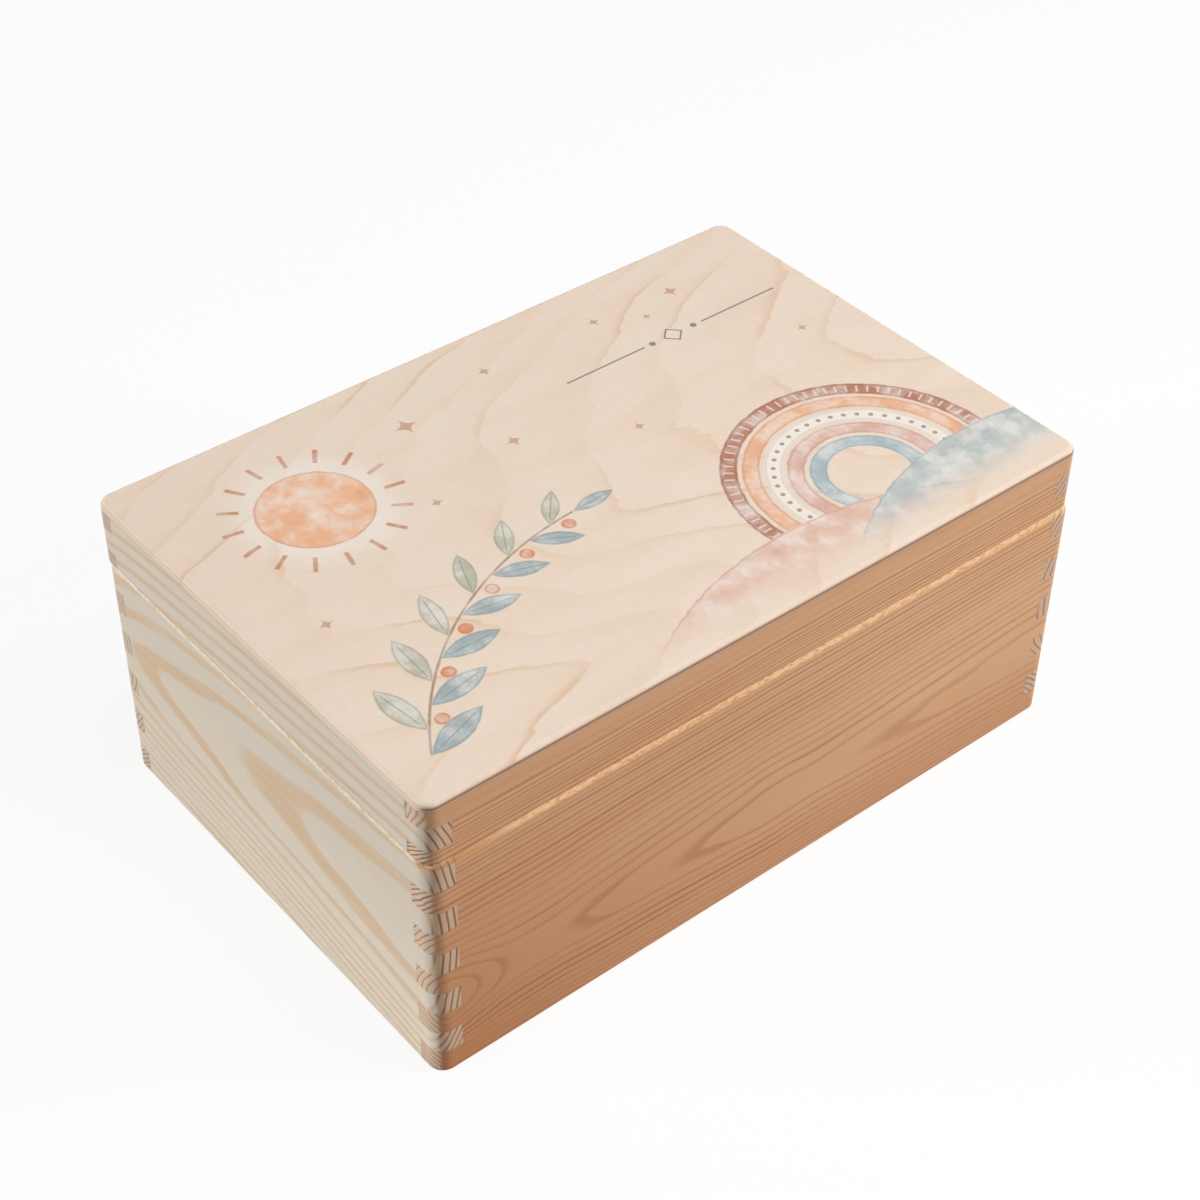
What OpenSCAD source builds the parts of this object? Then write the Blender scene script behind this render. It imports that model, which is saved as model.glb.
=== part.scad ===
// Keepsake box: a finger-jointed pine box with a hinged lid.
// The front is at -Y and the hinges are at the back. z = 0 is the underside.

/* [Box] */
// Outside length, side to side
box_length = 300; // [280:1:400]
// Outside depth, front to back
box_depth = 200; // [150:1:300]
// Thickness of the pine boards
board_thickness = 10.5; // [9:0.5:12]
// Radius of the four upright outer corners
corner_radius = 6; // [5:0.5:12]
// How far the lid sits back of flush
lid_set_back = 1; // [0:0.1:2]

/* [Base] */
// Number of fingers up each corner of the base
base_fingers = 10; // [8:2:16]
// Height of one finger
finger_height = 10; // [8:0.5:12]
// Height of the base's top finger, up to the saw cut
cut_finger = 12.5; // [8:0.5:14]
// Radius round the base's top outer edge, which lets a fingertip under the lid
grip_radius = 3; // [1:0.5:4]
// Thickness of the plywood bottom
bottom_thickness = 4; // [3:0.5:5]
// Width of the rabbet that the bottom sits in
rabbet_width = 5; // [3:0.5:6]

/* [Lid] */
// Height of the lid's lowest finger, above the saw cut
lid_low_finger = 6; // [5:0.5:10]
// Height of the lid's top finger, under the top
lid_top_finger = 7.5; // [5:0.5:12]
// Thickness of the plywood top
top_thickness = 3; // [3:0.5:5]
// Radius round the top's upper edge
top_edge_radius = 2.5; // [1:0.25:2.75]

/* [Hinges] */
// Length of a hinge along the back
hinge_length = 30; // [27:1:40]
// Distance from the middle of the box to the middle of each hinge
hinge_offset = 95; // [60:1:100]
// Thickness of a hinge leaf
leaf_thickness = 3; // [3:0.25:3.5]
// Reach of a leaf into the board, from the pin
leaf_reach = 8.5; // [8:0.25:8.75]
// Radius of a knuckle
knuckle_radius = 2.1; // [1.8:0.1:2.4]
// Radius of the pin
pin_radius = 1; // [0.8:0.1:1.2]
// Opening angle at which the two heels meet and hold the lid
stop_angle = 95; // [90:1:105]
// Radius of a screw's shank
screw_radius = 1.2; // [1:0.1:1.4]
// Radius of a screw's head
screw_head_radius = 2.2; // [2:0.1:2.3]
// Length of a screw
screw_length = 12; // [8:1:16]

/* [Hidden] */
$fn = 48;
base_joint = [for (n = [1 : base_fingers]) n < base_fingers ? finger_height : cut_finger];
lid_joint = [lid_low_finger, finger_height, lid_top_finger];
base_height = level(base_joint, len(base_joint));
lid_frame_height = level(lid_joint, len(lid_joint));
pin_y = box_depth / 2 + lid_set_back;
knuckle_length = hinge_length / 3;
knuckle_gap = 0.2;
pin_clearance = 0.05;
heel_slack = 0.3;
heel_width = leaf_thickness / tan(stop_angle / 2 + heel_slack);
screw_inset = 5;
screw_margin = 5.5;
screw_spacing = hinge_length - 2 * screw_margin;
screw_tip = 3;
screw_point_radius = 0.2;
slot_size = 0.5;
overcut = 1;

// Height at which finger n of a joint starts
function level(joint, n) = n == 0 ? 0 : level(joint, n - 1) + joint[n - 1];

// Half a board edge seen end on, with its top outer corner rounded
module edge_profile(width, height, edge) {
    square([width - edge, height]);
    square([width, height - edge]);
    if (edge > 0)
        translate([width - edge, height - edge]) intersection() {
            circle(edge);
            square(edge);
        }
}

// A whole section, rounded alike on both sides
module bar_profile(width, height, edge) {
    for (side = [0, 1])
        mirror([side, 0]) edge_profile(width / 2, height, edge);
}

// A block with round upright corners and a rounded top edge, which runs round the corners too
module rounded_block(length, depth, height, edge) {
    for (x = [-1, 1], y = [-1, 1])
        translate([x * (length / 2 - corner_radius), y * (depth / 2 - corner_radius), 0])
            rotate_extrude() edge_profile(corner_radius, height, edge);
    rotate([90, 0, 90])
        linear_extrude(length - 2 * corner_radius, center = true) bar_profile(depth, height, edge);
    rotate([90, 0, 0])
        linear_extrude(depth - 2 * corner_radius, center = true) bar_profile(length, height, edge);
}

// A board along X with fingers at both ends: finger n reaches the full length
// where n is even or odd, as first says, and stops at the neighbour's face elsewhere
module fingered_board(reach, joint, first) {
    for (n = [0 : len(joint) - 1]) {
        run = n % 2 == first ? reach : reach - 2 * board_thickness;
        translate([-run / 2, -board_thickness / 2, level(joint, n)])
            cube([run, board_thickness, joint[n]]);
    }
}

// A board at the front (-1) or the back (1), which has the lowest finger
module long_board(side, joint) {
    translate([0, side * (box_depth - board_thickness) / 2, 0])
        fingered_board(box_length, joint, 0);
}

// A board at the left (-1) or the right (1), whose fingers fill the gaps between
module short_board(side, joint) {
    translate([side * (box_length - board_thickness) / 2, 0, 0])
        rotate(90) fingered_board(box_depth, joint, 1);
}

// The base's boards: cut from the rounded block, with a rabbet for the bottom
module base_board() {
    color("#cba57f") difference() {
        intersection() {
            rounded_block(box_length, box_depth, base_height, grip_radius);
            children();
        }
        translate([0, 0, -overcut]) bottom_plate(bottom_thickness + overcut);
    }
}

// The lid's rails: the same outline, sawn off square
module lid_rail() {
    color("#cba57f") translate([0, lid_set_back, base_height]) intersection() {
        rounded_block(box_length, box_depth, lid_frame_height, 0);
        children();
    }
}

// The bottom's plan, at a given thickness
module bottom_plate(thickness) {
    inset = board_thickness - rabbet_width;
    translate([inset - box_length / 2, inset - box_depth / 2, 0])
        cube([box_length - 2 * inset, box_depth - 2 * inset, thickness]);
}

module base_front_board() {
    base_board() long_board(-1, base_joint);
}

module base_back_board() {
    difference() {
        base_board() long_board(1, base_joint);
        for (side = [-1, 1])
            at_hinge(side) leaf_seat(-1);
    }
}

module base_left_board() {
    base_board() short_board(-1, base_joint);
}

module base_right_board() {
    base_board() short_board(1, base_joint);
}

module bottom_panel() {
    color("#e6d3b8") bottom_plate(bottom_thickness);
}

module lid_front_rail() {
    lid_rail() long_board(-1, lid_joint);
}

module lid_back_rail() {
    difference() {
        lid_rail() long_board(1, lid_joint);
        for (side = [-1, 1])
            at_hinge(side) leaf_seat(1);
    }
}

module lid_left_rail() {
    lid_rail() short_board(-1, lid_joint);
}

module lid_right_rail() {
    lid_rail() short_board(1, lid_joint);
}

module lid_top_panel() {
    color("#ecdac6") translate([0, lid_set_back, base_height + lid_frame_height])
        rounded_block(box_length, box_depth, top_thickness, top_edge_radius);
}

// Puts a hinge part in place: the pin runs along X, level with the seam
module at_hinge(side) {
    translate([side * hinge_offset, pin_y, base_height]) children();
}

// Round parts along the pin, centred at the given places
module along_pin(places, radius, length) {
    for (x = places)
        translate([x, 0, 0]) rotate([0, 90, 0]) cylinder(r = radius, h = length, center = true);
}

// A leaf's section goes from the pin into the board. Behind the pin it widens into a heel, whose
// slanted face meets the other leaf's at the stop angle.
module leaf_plate(up) {
    section = [
        [-leaf_reach, 0],
        [0, 0],
        [heel_width, up * leaf_thickness],
        [-leaf_reach, up * leaf_thickness]
    ];
    rotate([90, 0, 90]) linear_extrude(hinge_length, center = true) polygon(section);
}

// A leaf with its own knuckles and room for the other leaf's; up is 1 in the lid, -1 in the base
module hinge_leaf(up, own, other, bore) {
    color("#c39a4a") difference() {
        union() {
            leaf_plate(up);
            along_pin(own, knuckle_radius, knuckle_length - knuckle_gap);
        }
        along_pin(other, knuckle_radius + knuckle_gap, knuckle_length + knuckle_gap);
        along_pin([0], bore, hinge_length + overcut);
        screw_pair(up);
    }
}

module base_leaf() {
    hinge_leaf(-1, [0], [-knuckle_length, knuckle_length], pin_radius);
}

module lid_leaf() {
    hinge_leaf(1, [-knuckle_length, knuckle_length], [0], pin_radius + pin_clearance);
}

// The recess and the screw holes that a leaf needs in its board
module leaf_seat(up) {
    translate([-hinge_length / 2, -leaf_reach, up > 0 ? -overcut : -leaf_thickness])
        cube([hinge_length, leaf_reach + overcut, leaf_thickness + overcut]);
    screw_pair(up);
}

// Two countersunk screws, heads flush with the leaf's inner face
module screw_pair(up) {
    for (x = [-1, 1])
        translate([x * screw_spacing / 2, -screw_inset, 0]) mirror([0, 0, up > 0 ? 0 : 1]) {
            cylinder(r1 = screw_head_radius, r2 = screw_radius, h = screw_head_radius - screw_radius);
            cylinder(r = screw_radius, h = screw_length - screw_tip);
            translate([0, 0, screw_length - screw_tip])
                cylinder(r1 = screw_radius, r2 = screw_point_radius, h = screw_tip);
        }
}

// The same two screws with a slot across each head
module slotted_screws(up) {
    color("#d0b070") difference() {
        screw_pair(up);
        for (x = [-1, 1])
            translate([x * screw_spacing / 2, -screw_inset, 0])
                cube([2 * screw_head_radius + overcut, slot_size, 2 * slot_size], center = true);
    }
}

module hinge_pin() {
    color("#d0b070") along_pin([0], pin_radius, hinge_length);
}

base_front_board();
base_back_board();
base_left_board();
base_right_board();
bottom_panel();
lid_front_rail();
lid_back_rail();
lid_left_rail();
lid_right_rail();
lid_top_panel();
at_hinge(-1) base_leaf();  // left_hinge_base_leaf
at_hinge(-1) lid_leaf();  // left_hinge_lid_leaf
at_hinge(-1) hinge_pin();  // left_hinge_pin
at_hinge(-1) slotted_screws(-1);  // left_hinge_base_screws
at_hinge(-1) slotted_screws(1);  // left_hinge_lid_screws
at_hinge(1) base_leaf();  // right_hinge_base_leaf
at_hinge(1) lid_leaf();  // right_hinge_lid_leaf
at_hinge(1) hinge_pin();  // right_hinge_pin
at_hinge(1) slotted_screws(-1);  // right_hinge_base_screws
at_hinge(1) slotted_screws(1);  // right_hinge_lid_screws
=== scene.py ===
import math
import bpy
import numpy as np
from mathutils import Matrix, Vector


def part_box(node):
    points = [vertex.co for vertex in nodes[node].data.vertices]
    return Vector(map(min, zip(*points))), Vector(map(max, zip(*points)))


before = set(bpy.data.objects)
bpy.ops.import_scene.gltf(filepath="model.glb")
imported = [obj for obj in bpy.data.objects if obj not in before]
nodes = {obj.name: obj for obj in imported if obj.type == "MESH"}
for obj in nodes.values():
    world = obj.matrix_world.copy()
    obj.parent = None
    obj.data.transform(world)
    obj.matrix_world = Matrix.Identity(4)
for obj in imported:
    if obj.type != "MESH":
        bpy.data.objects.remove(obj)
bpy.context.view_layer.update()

millimetres = 1000  # a material's coordinates are in millimetres

# The box's levels and half sizes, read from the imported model, in millimetres
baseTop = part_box("base_front_board")[1].z * millimetres
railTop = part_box("lid_front_rail")[1].z * millimetres
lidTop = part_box("lid_top_panel")[1].z * millimetres
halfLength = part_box("base_front_board")[1].x * millimetres
halfDepth = -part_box("base_front_board")[0].y * millimetres
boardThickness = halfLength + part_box("base_left_board")[1].x * millimetres
print("frame loaded:", len(nodes), "nodes")


def paint(code):
    # A colour written as six hex digits, turned from display values into the renderer's linear ones
    parts = [int(code[i:i + 2], 16) / 255 for i in (0, 2, 4)]
    return tuple(p / 12.92 if p <= 0.04045 else ((p + 0.055) / 1.055) ** 2.4 for p in parts) + (1,)


class nodePen:
    # Adds nodes to one shader tree. A socket is linked, any other value is set, and text is a colour.
    def __init__(self, tree):
        self.tree = tree

    def feed(self, socket, value):
        if isinstance(value, bpy.types.NodeSocket):
            self.tree.links.new(value, socket)
        elif value is not None:
            socket.default_value = paint(value) if isinstance(value, str) else value

    def node(self, kind, inputs=None, **settings):
        made = self.tree.nodes.new(kind if kind.startswith("NodeGroup") else "ShaderNode" + kind)
        for name, value in settings.items():
            setattr(made, name, value)
        for name, value in (inputs or {}).items():
            self.feed(made.inputs[name], value)
        return made

    def math(self, operation, *values, clamp=False):
        return self.node("Math", dict(enumerate(values)), operation=operation, use_clamp=clamp).outputs[0]

    def chain(self, operation, values):
        # the values, joined one after another
        result = values[0]
        for value in values[1:]:
            result = self.math(operation, result, value)
        return result

    def plus(self, *values):
        return self.chain("ADD", values)

    def times(self, *values):
        return self.chain("MULTIPLY", values)

    def highest(self, *values):
        return self.chain("MAXIMUM", values)

    def lowest(self, *values):
        return self.chain("MINIMUM", values)

    def minus(self, first, second):
        return self.math("SUBTRACT", first, second)

    def timesPlus(self, first, second, third, clamp=False):
        # first x second + third
        return self.math("MULTIPLY_ADD", first, second, third, clamp=clamp)

    def absolute(self, value):
        return self.math("ABSOLUTE", value)

    def nudge(self, value, noise, amount):
        # value + amount x (noise - 1/2), because a noise swings round a half
        return self.timesPlus(self.minus(noise, 0.5), amount, value)

    def vector(self, operation, *values):
        made = self.node("VectorMath", dict(enumerate(values)), operation=operation)
        return made.outputs["Value" if operation in ("DOT_PRODUCT", "LENGTH", "DISTANCE") else "Vector"]

    def split(self, vector):
        return self.node("SeparateXYZ", {"Vector": vector}).outputs[:]

    def join(self, x, y, z=0):
        return self.node("CombineXYZ", {"X": x, "Y": y, "Z": z}).outputs[0]

    def ease(self, value, low, high, start=0, end=1, way="SMOOTHSTEP"):
        # value between low and high, carried to start..end
        inputs = {"Value": value, "From Min": low, "From Max": high, "To Min": start, "To Max": end}
        return self.node("MapRange", inputs, interpolation_type=way).outputs["Result"]

    def ramp(self, *values):
        # the same in a straight line
        return self.ease(*values, way="LINEAR")

    def mix(self, factor, first, second, blend="MIX"):
        # inputs 0, 6 and 7 are the factor and the two colours, and output 2 is a colour
        inputs = {0: factor, 6: first, 7: second}
        return self.node("Mix", inputs, data_type="RGBA", blend_type=blend).outputs[2]

    def group(self, tree, inputs):
        return self.node("Group", inputs, node_tree=tree).outputs

    def shade(self, colour, tone):
        # colour x tone
        return self.mix(1, colour, self.join(tone, tone, tone), "MULTIPLY")

    def noise(self, vector, pattern, seed):
        # pattern: (length along X, Y and Z, detail, roughness)
        *size, detail, roughness = pattern
        stretched = self.vector("DIVIDE", vector, size)
        inputs = {"Vector": stretched, "W": seed, "Scale": 1, "Detail": detail, "Roughness": roughness}
        return self.node("TexNoise", inputs, noise_dimensions="4D").outputs["Fac"]

    def chance(self, number):
        # A value from 0 to 1 by chance, the same for the same number
        return self.node("TexWhiteNoise", {"W": number}, noise_dimensions="1D").outputs["Value"]

    def curve(self, value, points):
        # A smooth curve through (input, output) points, with both axes carried to 0..1 and back
        xs, ys = np.array(points, float).T
        low, high = ys.min(), ys.max()
        share = self.ease(value, float(xs[0]), float(xs[-1]), way="LINEAR")
        made = self.node("FloatCurve", {"Value": share})
        line = made.mapping.curves[0]
        knots = np.stack([(xs - xs[0]) / (xs[-1] - xs[0]), (ys - low) / (high - low)], 1)
        for place, knot in enumerate(knots):
            if place in (0, len(knots) - 1):
                line.points[0 if place == 0 else -1].location = knot
            else:
                line.points.new(*knot)
        made.mapping.update()
        return self.timesPlus(made.outputs[0], float(high - low), float(low))


def makeGroup(name, vectors, colours, numbers, outputs):
    # An empty node group, with its inputs' names by kind, and each output's name and kind
    tree = bpy.data.node_groups.new(name, "ShaderNodeTree")
    for kind, labels in (("Vector", vectors), ("Color", colours), ("Float", numbers)):
        for label in labels:
            tree.interface.new_socket(name=label, in_out="INPUT", socket_type="NodeSocket" + kind)
    for label, kind in outputs.items():
        tree.interface.new_socket(name=label, in_out="OUTPUT", socket_type="NodeSocket" + kind)
    pen = nodePen(tree)
    return pen, pen.node("NodeGroupInput").outputs, pen.node("NodeGroupOutput").inputs


def clearTree(owner):
    # A pen on the emptied tree of a material or a world
    owner.use_nodes = True
    owner.node_tree.nodes.clear()
    return nodePen(owner.node_tree)


def addObject(name, data):
    # A new object in the scene
    made = bpy.data.objects.new(name, data)
    bpy.context.scene.collection.objects.link(made)
    return made


def makeMaterial(name):
    # A new material with its Principled shader; returns the material, its pen and the shader
    made = bpy.data.materials.new(name)
    pen = clearTree(made)
    shader = pen.node("BsdfPrincipled")
    pen.node("OutputMaterial", {"Surface": shader.outputs["BSDF"]})
    return made, pen, shader


def placeOnObject(pen):
    # Object coordinates in millimetres, and the way that the surface faces
    source = pen.node("TexCoord").outputs
    place = pen.node("Mapping", {"Vector": source["Object"], "Scale": (millimetres,) * 3})
    return place.outputs[0], source["Normal"]


def placeInBoard(pen, side):
    # Object coordinates turned so that X runs along the board, Y into it from its outer face, Z up
    turns = {"front": 0, "left": 90, "back": 180, "right": 270}
    reach = halfLength if side in ("left", "right") else halfDepth
    source = pen.node("TexCoord").outputs
    turn = (0, 0, math.radians(turns[side]))
    place = pen.node("Mapping", {"Vector": source["Object"], "Location": (0, reach, 0), "Rotation": turn,
                                 "Scale": (millimetres,) * 3})
    facing = pen.node("Mapping", {"Vector": source["Normal"], "Rotation": turn}, vector_type="VECTOR")
    return place.outputs[0], facing.outputs[0]


def coverShader(pen, shader, colour, roughness, height, look):
    # The surface's colour, gloss and relief; a bump is (strength, depth in metres)
    strength, depth = look["bump"]
    bump = pen.node("Bump", {"Height": height, "Strength": strength, "Distance": depth})
    for name, value in (("Base Color", colour), ("Roughness", roughness), ("Normal", bump.outputs[0]),
                        ("Specular IOR Level", look.get("specular"))):
        pen.feed(shader.inputs[name], value)


# Pine. One solid pattern of rings gives the tall arches on a board's face and the matching stripes
# on its finger ends. Here and below, lengths are in mm, two numbers are the range over which
# something sets in, and four are a range with the values at its ends. A noise is (length along X, Y
# and Z, detail, roughness). apart is how far a point is above or below the middle of the arches.

pineLook = {
    "lateEnd": 0.91,  # where in a ring the dark summer wood ends
    # apart: from the arches' values to those of the edges
    "lateFrom": (18, 50), "faintFrom": (14, 30), "depthFrom": (8, 30),
    "edgeDepth": 0.82,  # depth of the summer wood's colour outside the arches
    "tipRadius": 1.6,  # how round an arch's tip is
    "crowdFrom": (8, 26),  # apart: where rings begin to crowd and part again
    "tiltFrom": (-20, -46),  # heights below the middle where the lines begin to tilt
    "tiltAlong": (-10, 100),
    "bluntIn": (0, 8),  # apart: where the tips are flattened
    "bluntOut": (15, 26, 1, 0), "bluntAlong": (-48, -16),
    "plainEdge": (-1, 0.5),  # round the height "plain"
    "plainCalm": 0.85,  # how faint the rings are above it
    "plainHeart": 0.2, "boldEdge": 1.5, "boldAlong": (60, -20), "footHeight": (45, 5), "lidEdge": 2,
    # Noises
    "slow": (120, 24, 24, 1, 0.5), "quick": (32, 6, 6, 1, 0.5), "crowd": (600, 5, 5, 1, 0.6),
    "patchy": (70, 3, 3, 1, 0.5), "streak": (45, 0.55, 0.55, 3, 0.6), "fine": (7.5, 0.16, 0.16, 1, 0.5),
    "warmPatch": (90, 22, 22, 2, 0.5), "duct": (5, 0.28, 0.28, 0, 0.5),
    "speck": (2.4, 0.7, 0.7, 2, 0.6),
    # Ranges on those noises and on a ring's share
    "patchyRange": (0.3, 0.65, 0.7, 1), "warmRange": (0.42, 0.7), "ductRange": (0.735, 0.8),
    "ductInRing": (0.3, 0.8, 0.2, 0.8), "speckRange": (0.42, 0.66),
    "endGrain": (0.55, 0.8),  # how far a surface faces along the board
    "endStrength": (0.2, 0.7, 0.5, 0.9),
    # How much each mark lightens or darkens the wood
    "streakTone": (0.25, 0.75, -0.06, 0.06), "fineTone": (0.25, 0.75, -0.035, 0.035), "ductTone": 0.18,
    "boldTone": 0.17, "jointTone": 0.25, "glueTone": 0.4, "seamShadowTone": 0.24, "fingerHeight": 10,
    "lidFingerLevel": 108.5,  # where the lid's lowest finger ends
    "topFinger": 95,  # no base finger ends above this height
    "jointLine": 0.2,  # width of the line between two fingers
    "innerLine": (-0.3, -0.05),  # the line behind the fingers, from the inner face
    "glueLine": (0.05, 0.35, 1, 0),
    "seamShade": 0.35,  # height of the painted shadow line above the seam, in the gap under the lid
    # The base's rounded edge: fresh wood, brightened with a painted highlight of the light from above
    "edgeBand": 2.7,  # its height
    "edgeSoft": 0.6, "edgeShare": 0.9, "edgeEndShare": 0.75,
    "rimFacing": (0.8, 0.98),  # how far up the flat rim faces
    "rimShare": 0.25,  # how much of the edge's fresh and painted-highlight colour it has
    "roughness": (0.68, 0.55),  # of spring and of summer wood
    "specular": 0.3, "lateRelief": 0.5, "streakRelief": 0.6, "jointRelief": 0.6,
    "bump": (0.35, 0.00006),  # strength, depth in metres
}

# The boards' values; "along" runs from a board's start to its end. The left board's cool grey-beige
# colours and the front board's warm tan are partly the pine's own and partly painted light: cool light
# on the left face, warm bounced light on the front.
# middle: height of the arches' middle; rise: (apart, rings); centre: (along, rings) of the line
# through the tips; fade: (apart, apart, most, least) of that line's part; lean: rings per mm of
# depth; belowStart, belowRate: extra rings per mm, this far below the middle; wander, ripple,
# crowding: rings that the slow, quick and crowding noises move; tilt: drop of the lines below the
# arches towards the board's end; knot: (along, radius, rings) round a knot; blunt: rings that
# flatten the tips; plain: rings are faint above this height; archDepth: depth of the summer wood's
# colour in the arches; bold: (lowest height, highest height, strength) of the strongest lines;
# late: where in a ring the summer wood begins and is full, in the arches and at the edges; faintest:
# strength of the weakest ring, in the arches, at the edges and on the lid; heartAndBounceShare: share of
# the heart colour, over heartAndBounceHeight and heartAndBounceAlong, which on the left board is a
# painted bounce light from the floor, paler towards its foot and front end; foot: the least of it at the
# board's foot; edge: the rounded edge's fresh wood, brightened with a painted highlight;
# edgeCornerShade: the edge's colour where edgeTurn ends, darkened with painted shade towards the corner
pineShared = {
    "tilt": 0, "knot": (0, 1, 0), "blunt": 0, "plain": 200, "archDepth": 0.85,
    "bold": (-20, -10, 0), "foot": 0.2, "crowding": 0.8, "edgeTurn": (-105, -142),
}

pineSides = {
    "front": {
        "middle": 35.5, "belowStart": 6, "belowRate": 0.1, "lean": 0.37,
        "rise": [(0, 0), (3, 0.15), (6, 0.34), (9, 0.7), (12, 1.2), (17, 2.1), (24, 3.7), (31, 5.5),
                 (39, 8), (45, 10), (52, 12.7), (60, 16.3), (68, 19.9), (82, 27.3), (95, 29)],
        "centre": [(-150, 0.1), (-128, 0.3), (-105, 0.4), (-84, 0), (-58, -0.5), (-28, -1),
                   (-14, -1.25), (2, -1.55), (22, -1.42), (40, -1.6), (70, -2), (110, -2.4),
                   (150, -2.75)],
        "fade": (20, 62, 1, 0.25), "wander": 0.9, "ripple": 0.28, "seed": 3,
        "knot": (-150, 36, 2.2), "plain": 118, "archDepth": 0.62, "bold": (13, 20, 1.2),
        "late": ((0.58, 0.9), (0.3, 0.74)), "faintest": (0.7, 0.4, 0.85),
        # partly painted light: this warm tan stands for warm bounced light as well as the wood's colour
        "colours": {
            "Early": "dfb089", "Late": "ab6d3f", "Warm": "d79c69", "Heart and bounce light": "bd7c4e",
            "End early": "dec3a7", "End late": "8a5844", "Edge speck": "cf9a64", "Edge end": "dcab7b",
        },
        "warmth": 0.3, "heartAndBounceHeight": (150, 5), "heartAndBounceAlong": (75, -140), "heartAndBounceShare": 0.86, "foot": 0.45,
        "edge": "edc094", "edgeCornerShade": "bd8356",
    },
    "left": {
        "middle": 65, "belowStart": 24, "belowRate": 0.07, "lean": 0.38,
        "rise": [(0, 0), (3, 0.06), (6, 0.18), (9.5, 0.37), (14, 0.66), (20, 1.04), (28.5, 1.62),
                 (33, 1.95), (40, 2.8), (47, 3.8), (54, 4.9), (66, 6.6)],
        "centre": [(-100, 0.62), (-71, 0), (-45, -0.32), (-24, -0.53), (-12, -0.67), (28, -0.98),
                   (46, -1.14), (66, -1.28), (86, -1.42), (100, -1.46)],
        "fade": (6, 24, 1, 1.3), "wander": 0.35, "ripple": 0.06, "crowding": 0.2, "seed": 11,
        "tilt": 9, "blunt": 0.16,
        "late": ((0.54, 0.7), (0.5, 0.78)), "faintest": (0.85, 0.4, 0.9),
        # partly painted light: this cool grey-beige stands for cool light as well as the wood's colour
        "colours": {
            "Early": "dcd0c0", "Late": "d7b389", "Warm": "e0cdb2", "Heart and bounce light": "f1e3ce",
            "End early": "d2b294", "End late": "8a5a43", "Edge speck": "e6c99c", "Edge end": "bf8b5f",
        },
        # painted light: on this board the heart colour is a painted bounce light from the floor, paler
        # towards the foot and the front end
        "warmth": 0.3, "heartAndBounceHeight": (80, 15), "heartAndBounceAlong": (-200, 60), "heartAndBounceShare": 0.8, "foot": 0,
        "edge": "fcefdb", "edgeTurn": (90.5, 94), "edgeCornerShade": "c98c58",
    },
    "back": {
        "middle": 58, "belowStart": 25, "belowRate": 0.08, "lean": 0.35,
        "rise": [(0, 0), (8, 0.3), (15, 1.2), (30, 4.5), (45, 10), (75, 24)],
        "centre": [(-150, -1.2), (-80, -0.4), (-20, 0.6), (40, 1.7), (90, 2.2), (150, 3.4)],
        "fade": (20, 60, 1, 0.4), "wander": 0.8, "ripple": 0.3, "seed": 27,
        "late": ((0.55, 0.9), (0.4, 0.8)), "faintest": (0.6, 0.3, 0.6),
        "colours": {
            "Early": "e3c4a0", "Late": "ba8a62", "Warm": "dab084", "Heart and bounce light": "c99a6e",
            "End early": "d0bfa9", "End late": "8a6a56", "Edge speck": "d4a066", "Edge end": "e4bd8f",
        },
        "warmth": 0.4, "heartAndBounceHeight": (40, -10), "heartAndBounceAlong": (150, -150), "heartAndBounceShare": 0.4,
        "edge": "f2cf9d", "edgeCornerShade": "e2b983",
    },
    "right": {
        "middle": 60, "belowStart": 25, "belowRate": 0.06, "lean": 0.3,
        "rise": [(0, 0), (8, 0.25), (15, 0.8), (30, 3.2), (45, 7), (75, 16)],
        "centre": [(-100, 0.9), (-40, 0.2), (10, -0.6), (60, -1.3), (100, -1.6)],
        "fade": (30, 70, 1, 0.6), "wander": 0.6, "ripple": 0.25, "crowding": 0.5, "seed": 41,
        "tilt": 6,
        "late": ((0.55, 0.85), (0.4, 0.8)), "faintest": (0.7, 0.35, 0.6),
        "colours": {
            "Early": "e0ccaf", "Late": "c79c74", "Warm": "dcbd94", "Heart and bounce light": "cda77c",
            "End early": "d3b196", "End late": "8a5a45", "Edge speck": "d8ad76", "Edge end": "e9b987",
        },
        "warmth": 0.35, "heartAndBounceHeight": (30, 0), "heartAndBounceAlong": (100, -100), "heartAndBounceShare": 0.2,
        "edge": "f4dcb4", "edgeTurn": (60, 94), "edgeCornerShade": "e6c698",
    },
}


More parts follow.
